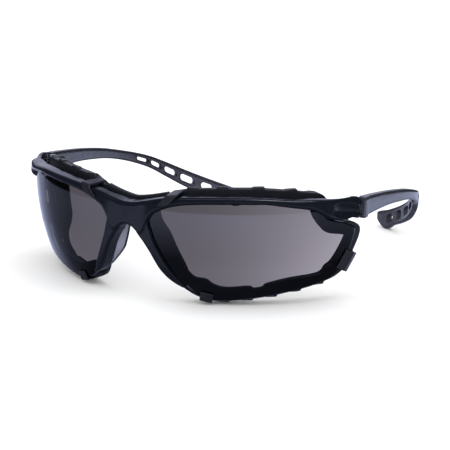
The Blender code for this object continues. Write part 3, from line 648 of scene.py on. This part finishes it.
CARRIER_THICKNESS = 2.6
CARRIER_BEHIND_LENS, CARRIER_BEHIND_FRAME = 2.6, 4.8
STRAP_HALF, STRAP_TOP, STRAP_RISE, STRAP_HEIGHT = 14.0, 38.4, 2.6, 3.0
STRAP_FRONT, STRAP_BACK = -4.8, -7.2
HOOK_FROM, HOOK_TO, HOOK_SHEAR, HOOK_THICKNESS = 13.0, 17.4, 3.2, 0.9
HOOK_BACK, HOOK_SEAT, HOOK_DROP = -6.6, -5.3, -2.4
CLIP_THICKNESS, CLIP_BACK, CLIP_SEAT = 0.8, -4.2, -3.3
TAB_LINE = ((26.8, 1.7), (31.8, 0.6))
TAB_REACH, TAB_OUT, TAB_GRIP = 3.4, 0.65, 2.0
SIDE_CLIP_LINE = ((82.9, 11.0), (86.4, 18.2))
SIDE_CLIP_REACH, SIDE_CLIP_OUT, SIDE_CLIP_GRIP, SIDE_CLIP_SLOPE = 3.0, 3.8, 0.8, 1.4
RIB_TOP = (24.0, 36.0, 50.0, 63.0)
RIB_BOTTOM = (36.0, 46.0, 56.0, 66.0, 76.0)
RIB_HALF, RIB_RISE, RIB_ROOT = 2.3, 0.5, 1.0


def carrier_front(angles, radii):
    """How far behind the lens the carrier starts: deeper where the frame is in the way."""
    u, z = at(angles, radii)
    brow = smooth_step(z, 27.0, 31.0) * (1.0 - smooth_step(u, 78.0, 84.0))
    nose = 1.0 - smooth_step(u, 22.0, 27.0)
    deep = np.maximum(brow, nose)
    return -(CARRIER_BEHIND_LENS + (CARRIER_BEHIND_FRAME - CARRIER_BEHIND_LENS) * deep)


def carrier_ring(side):
    angles = even_angles(GASKET_OUTER, 260)
    outer, inner = radius_at(GASKET_OUTER, angles), radius_at(GASKET_INNER, angles)
    face = carrier_front(angles, outer)
    back = face - CARRIER_THICKNESS
    corners = corner_rows((outer, face), (outer, back), (inner, back), (inner, face))
    profile = round_bar(corners, 0.5, 3)
    u, z = at(angles[:, None], profile[..., 0])
    return wrap(side * u, z, profile[..., 1])


def strap_rings():
    """The strip of the carrier that crosses the bridge behind the frame."""
    us = np.linspace(-STRAP_HALF, STRAP_HALF, 41)
    top = STRAP_TOP + STRAP_RISE * (np.abs(us) / STRAP_HALF) ** 1.3
    low = top - STRAP_HEIGHT
    corners = corner_rows((low, STRAP_FRONT), (top, STRAP_FRONT), (top, STRAP_BACK), (low, STRAP_BACK))
    profile = round_bar(corners, 0.5, 3)
    return wrap(us[:, None], profile[..., 0], profile[..., 1])


def hook_rings(side):
    """The hook from the carrier over the brow bar to its front.

    Each corner is a height above the bar's top, a distance in front of the lens and a share
    of the hook's sideways lean.
    """
    us = np.linspace(HOOK_FROM, HOOK_TO, 9)
    face, over = BROW_FRONT + GAP, GAP + HOOK_THICKNESS
    lip = face + HOOK_THICKNESS
    corners = [(HOOK_DROP, HOOK_BACK, 1.0), (over, HOOK_BACK, 1.0), (over, lip - 0.9, 0.95),
               (over - 0.9, lip, 0.7), (HOOK_DROP, lip, -0.1), (HOOK_DROP, face, -0.1),
               (GAP, face, 0.9), (GAP, HOOK_SEAT, 1.0), (HOOK_DROP, HOOK_SEAT, 1.0)]
    columns = []
    for rise, off, share in corners:
        places = us + share * HOOK_SHEAR
        columns.append(wrap(side * places, read_table(BROW, places)[:, 1] + rise, off))
    return np.stack(columns, axis=1)


def clip_rings(side, line, reach, stand_out, grip, slope=0.0):
    """A clip round the lens's edge, along a line beside that edge.

    reach is how far it covers the lens, stand_out how far it goes past the line, grip how far
    it holds the carrier and slope how far its face falls back at its outer edge.
    """
    start, end = np.array(line)
    run = end - start
    out = np.array((run[1], -run[0])) / np.linalg.norm(run)
    over = GAP + CLIP_THICKNESS
    profile = np.array([(-reach, GAP), (-reach + 0.2, over - 0.5), (0.7, over + 0.2 * slope),
                        (stand_out, over - 0.2 - slope), (stand_out, CLIP_BACK), (-grip, CLIP_BACK),
                        (-grip, CLIP_SEAT), (GAP, CLIP_SEAT), (GAP, GAP)])
    rows = []
    for part in np.linspace(0, 1, 9):
        u, z = (start + run * part)[:, None] + np.outer(out, profile[:, 0])
        rows.append(wrap(side * u, z, profile[:, 1]))
    return rows


def rib_rings(side, u_mid, above):
    """A short raised pad on the top or bottom edge of the carrier."""
    angles = np.linspace(-math.pi, math.pi, 720, endpoint=False)
    u, z = at(angles, radius_at(GASKET_OUTER, angles))
    half = (z > LENS_CENTRE[1]) == above
    height = z[half][np.argmin(np.abs(u[half] - u_mid))]
    depth = CARRIER_BEHIND_FRAME if above else CARRIER_BEHIND_LENS
    low, high = (-RIB_ROOT, RIB_RISE) if above else (-RIB_RISE, RIB_ROOT)
    offs = (-depth - CARRIER_THICKNESS + 0.3, -depth - 0.3)
    us = np.linspace(u_mid - RIB_HALF, u_mid + RIB_HALF, 7)
    corners = np.array([(low, offs[0]), (high, offs[0]), (high, offs[1]), (low, offs[1])])
    return wrap(side * us[:, None], height + corners[None, :, 0], corners[None, :, 1])


carrier_parts = [sweep(strap_rings())]
for side, _ in SIDES:
    carrier_parts.append(sweep(carrier_ring(side), closed=True))
    carrier_parts.append(sweep(hook_rings(side)))
    carrier_parts.append(sweep(clip_rings(side, TAB_LINE, TAB_REACH, TAB_OUT, TAB_GRIP)))
    carrier_parts.append(sweep(clip_rings(side, SIDE_CLIP_LINE, SIDE_CLIP_REACH, SIDE_CLIP_OUT,
                                          SIDE_CLIP_GRIP, SIDE_CLIP_SLOPE)))
    carrier_parts += [sweep(rib_rings(side, u, True)) for u in RIB_TOP]
    carrier_parts += [sweep(rib_rings(side, u, False)) for u in RIB_BOTTOM]
carrier = piece("gasket_carrier_moulding", fuse("gasket_carrier_moulding", carrier_parts, 0.28, 3),
                "front", SATIN)
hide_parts("gasket_carrier")

# ---------------------------------------------------------------- foam

FOAM_BACK, FOAM_INSET, FOAM_TAPER, NOSE_RELIEF = 11.0, 0.7, 2.0, 1.5
TEMPLE_FLARE, TEMPLE_OPENING, BROW_TAPER = 2.2, 2.0, 1.0
CHEEK_RELIEF, FOAM_WALL = 3.5, 1.5


def foam_rings(side):
    """The pad: shallower by the nose and along the cheek, wider open towards the face."""
    angles = even_angles(GASKET_OUTER, 300)
    outer, inner = radius_at(GASKET_OUTER, angles), radius_at(GASKET_INNER, angles)
    face = carrier_front(angles, outer) - CARRIER_THICKNESS - GAP
    nose = 1.0 - smooth_step(at(angles, outer)[0], 18.0, 26.0)
    brow = smooth_step(np.sin(angles), 0.25, 0.8)
    flare = smooth_step(np.cos(angles), 0.7, 0.95)
    cheek = 1.0 - smooth_step(at(angles, inner)[1], 6.5, 15.0)
    back = -FOAM_BACK + np.maximum(NOSE_RELIEF * nose, CHEEK_RELIEF * cheek)
    spread = TEMPLE_FLARE * flare - NOSE_RELIEF * nose / 2 - BROW_TAPER * brow
    spread *= 1.0 - cheek / 2
    opening = FOAM_TAPER * (1.0 - brow) * (1.0 - cheek / 2)
    opening += TEMPLE_OPENING * flare * (1.0 - cheek)
    opening = np.minimum(opening, outer - inner - FOAM_INSET + spread - FOAM_WALL)
    edge, hole = outer - FOAM_INSET, inner + FOAM_INSET
    middle = (face + back) / 2
    corners = corner_rows((edge, face), (edge + spread / 2, middle), (edge + spread, back),
                          (inner + opening, back), ((hole + inner + opening) / 2, middle),
                          (hole, face))
    profile = round_bar(corners, 1.6, 5)
    u, z = at(angles[:, None], profile[..., 0])
    return wrap(side * u, z, profile[..., 1])


for side, word in SIDES:
    name = f"foam_pad_{word}"
    pad = piece(name, fuse(name, [sweep(foam_rings(side), closed=True)], 0.35, 4), "front",
                FOAM)
    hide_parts(f"foam_{word}")

# ---------------------------------------------------------------- temples

TEMPLE_X, TEMPLE_Y = 71.0, 45.9 - Y_CENTRE
ARM = np.array([
    (0.0, 38.9, 7.4, 3.6), (6.0, 38.6, 7.1, 3.4), (15.0, 37.7, 6.3, 3.0),
    (24.0, 36.6, 5.5, 2.8), (33.0, 35.2, 5.0, 2.6), (42.0, 33.5, 4.5, 2.6),
    (51.0, 31.3, 4.3, 2.6), (60.0, 28.9, 4.7, 2.6), (69.0, 26.0, 5.5, 2.6),
    (78.0, 22.0, 6.8, 2.6), (87.0, 17.7, 7.8, 2.8), (96.0, 13.7, 7.9, 2.9),
    (105.0, 10.1, 7.8, 3.0), (109.5, 8.4, 8.35, 3.0), (113.5, 7.3, 6.6, 2.8),
    (116.7, 6.2, 3.9, 2.2),
])
BEND_START, BEND_END, BEND_ANGLE = 20.0, 144.0, math.radians(68.0)
SLOTS = ((64.6, 6.6, 1.4), (71.8, 5.4, 1.9), (79.2, 6.0, 2.5), (87.4, 6.6, 3.1), (96.8, 5.4, 3.2),
         (106.0, 5.6, 3.0))
COLLAR_LENGTH, COLLAR_RISE = 3.4, 0.45


def arm_heading(distance):
    return BEND_ANGLE * smooth_step(distance, BEND_START, BEND_END)


def arm_line(distances):
    """Middle of the arm in plan at the given distances along it."""
    fine = np.arange(0.0, 130.0, 0.25)
    heading = arm_heading(fine + 0.125)
    xs = TEMPLE_X - np.concatenate([[0], np.cumsum(np.sin(heading) * 0.25)])[:-1]
    ys = TEMPLE_Y + np.concatenate([[0], np.cumsum(np.cos(heading) * 0.25)])[:-1]
    return np.interp(distances, fine, xs), np.interp(distances, fine, ys)


def arm_rings(side):
    """The arm from the collar at the hinge to the tip."""
    tip = ARM[-1, 0]
    ds = np.concatenate([np.arange(0.0, 6.0, 0.3), np.arange(6.0, tip - 0.7, 0.8),
                         np.arange(tip - 0.7, tip, 0.2), [tip]])
    top, height, thick = read_table(ARM, ds).T
    collar = COLLAR_RISE * (1.0 - smooth_step(ds, COLLAR_LENGTH - 0.6, COLLAR_LENGTH))
    half, low = thick / 2 + collar, top - height - collar
    top = top + 0.4 * collar
    corners = corner_rows((-half, low), (half, low), (half + 0.1, (low + top) / 2), (half, top),
                          (-half, top))
    profile = round_bar(corners, 0.8, 4)
    x, y = arm_line(ds)
    heading = arm_heading(ds)
    w, z = profile[..., 0], profile[..., 1]
    px = x[:, None] + w * np.cos(heading)[:, None]
    py = y[:, None] + w * np.sin(heading)[:, None]
    return np.stack([side * px, py, z], -1)


def slot_rings(side, distance, length, tall):
    """A round-ended slot through the arm that follows its slope."""
    (top, height, thick), (top2, height2, _) = read_table(ARM, np.array([distance, distance + 2.0]))
    slope = ((top2 - height2 / 2) - (top - height / 2)) / 2.0
    (x,), (y,) = arm_line(np.array([distance]))
    heading = float(arm_heading(distance))
    corner = min(tall, length) * 0.45
    outline = []
    for quarter, (a, b) in enumerate(((1, 1), (-1, 1), (-1, -1), (1, -1))):
        for k in range(7):
            turn = math.radians(90 * quarter + 15 * k)
            outline.append((a * (length / 2 - corner) + corner * math.cos(turn),
                            b * (tall / 2 - corner) + corner * math.sin(turn)))
    rows = []
    for depth in (-thick, thick):
        rows.append([(side * (x - math.sin(heading) * run + math.cos(heading) * depth),
                      y + math.cos(heading) * run + math.sin(heading) * depth,
                      top - height / 2 + rise + slope * run) for run, rise in outline])
    return rows


def temple_mesh(side, name):
    x, y = side * HINGE[0], HINGE[1]
    low, high = HINGE[2] - KNUCKLE_HALF, HINGE[2] + KNUCKLE_HALF
    parts = [sweep(arm_rings(side))]
    web_end = x + side * WEB_WIDTH
    knuckle = [sweep(disc_rings((x, y), KNUCKLE_RADIUS, low, high)),
               sweep(block_rings((min(x, web_end), y, low + ROOT_INSET),
                                 (max(x, web_end), y + WEB_LENGTH, high - ROOT_INSET)))]
    clear = KNUCKLE_RADIUS + 0.5
    relief = [sweep(disc_rings((x, y), clear, high, high + 5.0, ease=0.01)),
              sweep(disc_rings((x, y), clear, low - 8.0, low, ease=0.01))]
    slots = [sweep(slot_rings(side, *slot)) for slot in SLOTS]
    return fuse(name, parts + knuckle, 0.25, 4, cutters=relief + slots)


for side, word in SIDES:
    name = f"temple_arm_{word}"
    arm = piece(name, temple_mesh(side, name), f"temple_{word}", SMOKE)
    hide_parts(f"temple_{word}")

# ---------------------------------------------------------------- hinge pins

for _, word in SIDES:
    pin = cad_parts[f"hinge_pin_{word}"]
    pin.data.materials.clear()
    pin.data.materials.append(STEEL)
    edge = pin.modifiers.new("edge", "BEVEL")
    edge.width, edge.segments, edge.limit_method = 0.0001, 2, "ANGLE"

# ---------------------------------------------------------------- stage, light and camera

FLOOR_SIZE = 6.0
# Upward share of the direction from the floor to what sees it: where the painted floor reflection starts
# and fades, and where the painted glow of the floor behind a tinted piece gets brighter
GRAZING, STEEP, BAND_EDGE = (0.196, 0.204), (0.26, 0.60), (0.249, 0.283)
# Rightward share of the camera's line of sight: across the glasses, and past them on the right
FRAMED, PAST = (-0.050, 0.071), (0.080, 0.140)


def floor_mirror(s, x, y, z):
    """What glossy surfaces see of the floor, a painted reflection: a glow, bright to the sides, dark far
    off and underneath.
    """
    level = s.math("ADD", s.span(y, -0.75, -0.20, 0.60, 0.0), s.span(y, 0.20, 0.90, 0.0, 0.60))
    level = s.math("ADD", level, s.span(x, -0.50, 0.0, 0.25, 0.0))
    level = s.math("ADD", 0.30, level)
    level = s.math("MULTIPLY", level, s.span(z, *GRAZING, 0.05, 1.0))
    level = s.math("MULTIPLY", level, s.span(z, *STEEP, 1.0, 0.18))
    # Painted reflection: the floor glows for glossy rays only, though it is no lamp.
    return s.add("ShaderNodeEmission", Color=(0.85, 0.92, 1.30, 1), Strength=level).outputs[0]


def floor_behind(s, incoming, z):
    """The floor through a tinted piece: a painted glow, with no lamp behind it, that grows to the right of
    the picture.
    """
    across = s.add("ShaderNodeVectorMath", **{"0": incoming, "1": -CAMERA_RIGHT})
    across.operation = "DOT_PRODUCT"
    along = s.span(across.outputs["Value"], *FRAMED, 0.0, 1.0)
    past = s.span(across.outputs["Value"], *PAST, 1.0, 0.4)
    glow = s.math("MULTIPLY", s.math("POWER", along, 2.4), past)
    glow = s.math("MULTIPLY_ADD", glow, 2.4, 1.0)
    glow = s.math("MULTIPLY", glow, s.span(z, *BAND_EDGE, 1.0, 1.3))
    # Painted glow: the floor glows for camera rays through a tinted piece, though it is no lamp.
    return s.add("ShaderNodeEmission", Color=(1.0, 0.985, 1.03, 1), Strength=glow).outputs[0]


def floor_material():
    """A matt white floor that shows glossy and see-through pieces a graded studio instead, as a painted
    reflection and a painted glow.
    """
    s = Shade("studio_floor")
    tone = s.mix_colour(s.noise(3.0), (0.86, 0.86, 0.86, 1), (0.88, 0.88, 0.88, 1))
    matt = s.add("ShaderNodeBsdfDiffuse", Color=tone).outputs[0]
    incoming = s.add("ShaderNodeNewGeometry").outputs["Incoming"]
    xyz = s.add("ShaderNodeSeparateXYZ", Vector=incoming)
    x, y, z = (xyz.outputs[axis] for axis in "XYZ")
    path = s.add("ShaderNodeLightPath")
    veiled = s.math("GREATER_THAN", path.outputs["Transparent Depth"], 0.5)
    veiled = s.math("MULTIPLY", veiled, path.outputs["Is Camera Ray"])
    seen = s.mix(veiled, matt, floor_behind(s, incoming, z))
    return s.finish(s.mix(path.outputs["Is Glossy Ray"], seen, floor_mirror(s, x, y, z)))


bpy.ops.mesh.primitive_plane_add(size=FLOOR_SIZE, location=(0, 0, 0))
floor = bpy.context.object
floor.name = "studio_floor"
floor.data.materials.append(floor_material())

BACKDROP_TOWARDS = (-0.49, 0.86, 0.13)
BACKDROP_EDGE, BACKDROP_LEVEL = (0.80, 0.97), (0.045, 0.9)
AMBIENT = 1.40

world = bpy.data.worlds.new("studio")
bpy.context.scene.world = world
world.use_nodes = True
world.cycles.sampling_method = "NONE"
tree = world.node_tree
tree.nodes.clear()


def background(colour, strength):
    node = tree.nodes.new("ShaderNodeBackground")
    node.inputs["Color"].default_value = (*colour, 1)
    if isinstance(strength, bpy.types.NodeSocket):
        tree.links.new(strength, node.inputs["Strength"])
    else:
        node.inputs["Strength"].default_value = strength
    return node.outputs[0]


def either(share, a, b):
    node = tree.nodes.new("ShaderNodeMixShader")
    for i, socket in enumerate((share, a, b)):
        tree.links.new(socket, node.inputs[i])
    return node.outputs[0]


def backdrop_level():
    """Bright towards the backdrop that stands behind the glasses, dark elsewhere."""
    towards = tree.nodes.new("ShaderNodeVectorMath")
    towards.operation = "DOT_PRODUCT"
    tree.links.new(tree.nodes.new("ShaderNodeTexCoord").outputs["Generated"], towards.inputs[0])
    towards.inputs[1].default_value = BACKDROP_TOWARDS
    ramp = tree.nodes.new("ShaderNodeMapRange")
    tree.links.new(towards.outputs["Value"], ramp.inputs["Value"])
    for key, value in zip(("From Min", "From Max", "To Min", "To Max"), BACKDROP_EDGE + BACKDROP_LEVEL):
        ramp.inputs[key].default_value = value
    return ramp.outputs["Result"]


path = tree.nodes.new("ShaderNodeLightPath")
mirrored = background((0.74, 0.77, 1.0), backdrop_level())
room = either(path.outputs["Is Glossy Ray"], background((1, 1, 1), AMBIENT), mirrored)
seen = either(path.outputs["Is Camera Ray"], room, background((1, 1, 1), 1.0))
tree.links.new(seen, tree.nodes.new("ShaderNodeOutputWorld").inputs["Surface"])


def softbox(name, location, target, size, power, colour=(1, 1, 1)):
    data = bpy.data.lights.new(name, "AREA")
    data.shape = "RECTANGLE"
    data.size, data.size_y = size
    data.energy, data.color = power, colour
    lamp = bpy.data.objects.new(name, data)
    bpy.context.scene.collection.objects.link(lamp)
    lamp.location = location
    aim = Vector(target) - Vector(location)
    lamp.rotation_euler = aim.to_track_quat("-Z", "Y").to_euler()
    return lamp


AIM = (0, -0.03, 0.02)
softbox("top_box", (0.1, -0.15, 0.9), AIM, (0.9, 0.5), 1.6, (0.9, 0.93, 1.0))
edge_box = softbox("edge_box", (0.28, 0.0, 0.9), AIM, (0.5, 0.2), 2.2, (0.88, 0.92, 1.0))
edge_box.visible_diffuse = False

camera_data = bpy.data.cameras.new("camera")
camera = bpy.data.objects.new("camera", camera_data)
bpy.context.scene.collection.objects.link(camera)
camera_data.sensor_width = SENSOR_WIDTH
camera_data.lens = CAMERA_LENS
turn = Matrix((CAMERA_RIGHT, CAMERA_UP, CAMERA_BACK)).transposed().to_4x4()
camera.matrix_world = Matrix.Translation(CAMERA_PLACE * MM) @ turn
bpy.context.scene.camera = camera
bpy.context.scene.view_settings.view_transform = "Standard"
